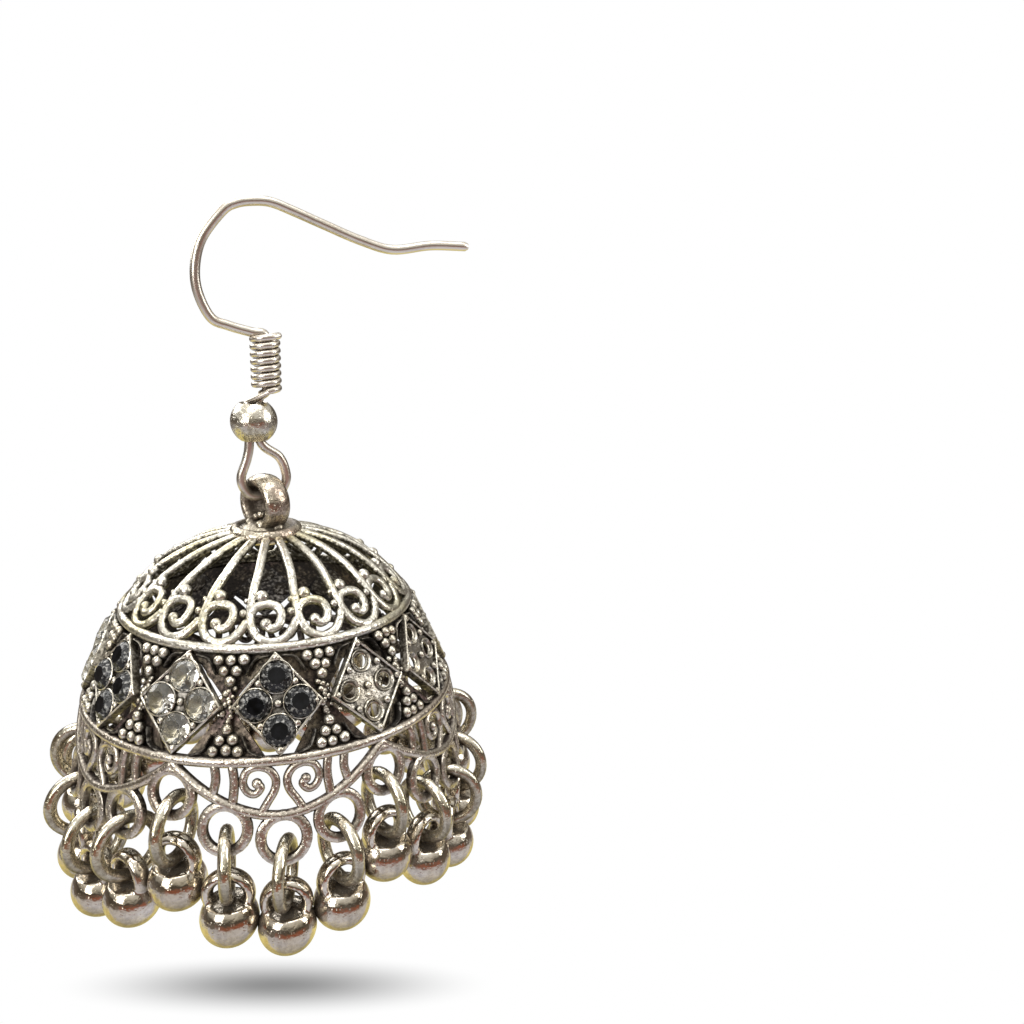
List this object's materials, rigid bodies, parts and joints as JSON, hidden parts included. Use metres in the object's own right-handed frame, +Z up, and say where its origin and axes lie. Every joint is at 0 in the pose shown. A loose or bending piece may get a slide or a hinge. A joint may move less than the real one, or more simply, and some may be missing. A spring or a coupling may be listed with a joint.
{
  "type": "jhumka earring",
  "caption": "Hanging earring: a hook ear wire with a bead and a coil carries a pierced bell-shaped dome with stone-set lozenges, a scalloped skirt and a fringe of ball drops.",
  "frame": {"origin": "inside top of the hook's arc, where the ear lobe carries the earring", "axes": "+Z up; the hook lies in the XZ plane with its free tail towards +X; the stone-set side of the dome faces -Y"},
  "size_m": [0.0298, 0.0298, 0.0441],
  "materials": {
    "bright_silver": "polished ear wire with a warm silver tone, dulled in places",
    "antique_silver": "oxidised silver-tone casting, dark in its recesses and bright on its edges",
    "dark_silver": "smooth oxidised silver tone, brown to grey",
    "black_glass": "opaque black faceted glass",
    "clear_glass": "clear faceted glass on a dulled foil"
  },
  "bodies": {
    "hook": {"ear_wire": "bright_silver", "hook_bead": "dark_silver"},
    "drop": {"dome": "antique_silver", "black_stones_front": "black_glass", "black_stones_side": "black_glass", "clear_stones_front": "clear_glass", "clear_stones_side": "clear_glass", "jump_ring_01": "antique_silver", "jump_ring_02": "antique_silver", "jump_ring_03": "antique_silver", "jump_ring_04": "antique_silver", "jump_ring_05": "antique_silver", "jump_ring_06": "antique_silver", "jump_ring_07": "antique_silver", "jump_ring_08": "antique_silver", "jump_ring_09": "antique_silver", "jump_ring_10": "antique_silver", "jump_ring_11": "antique_silver", "jump_ring_12": "antique_silver", "jump_ring_13": "antique_silver", "jump_ring_14": "antique_silver", "jump_ring_15": "antique_silver", "jump_ring_16": "antique_silver", "jump_ring_17": "antique_silver", "jump_ring_18": "antique_silver", "jump_ring_19": "antique_silver", "jump_ring_20": "antique_silver", "jump_ring_21": "antique_silver", "jump_ring_22": "antique_silver", "jump_ring_23": "antique_silver", "jump_ring_24": "antique_silver", "ball_drop_01": "dark_silver", "ball_drop_02": "dark_silver", "ball_drop_03": "dark_silver", "ball_drop_04": "dark_silver", "ball_drop_05": "dark_silver", "ball_drop_06": "dark_silver", "ball_drop_07": "dark_silver", "ball_drop_08": "dark_silver", "ball_drop_09": "dark_silver", "ball_drop_10": "dark_silver", "ball_drop_11": "dark_silver", "ball_drop_12": "dark_silver", "ball_drop_13": "dark_silver", "ball_drop_14": "dark_silver", "ball_drop_15": "dark_silver", "ball_drop_16": "dark_silver", "ball_drop_17": "dark_silver", "ball_drop_18": "dark_silver", "ball_drop_19": "dark_silver", "ball_drop_20": "dark_silver", "ball_drop_21": "dark_silver", "ball_drop_22": "dark_silver", "ball_drop_23": "dark_silver", "ball_drop_24": "dark_silver"}
  },
  "joints": [
    {"name": "drop_swing", "type": "hinge", "parent": "hook", "child": "drop", "pos_m": [0, 0, -0.0182], "axis": [1, 0, 0], "range_deg": [-30, 30]}
  ]
}
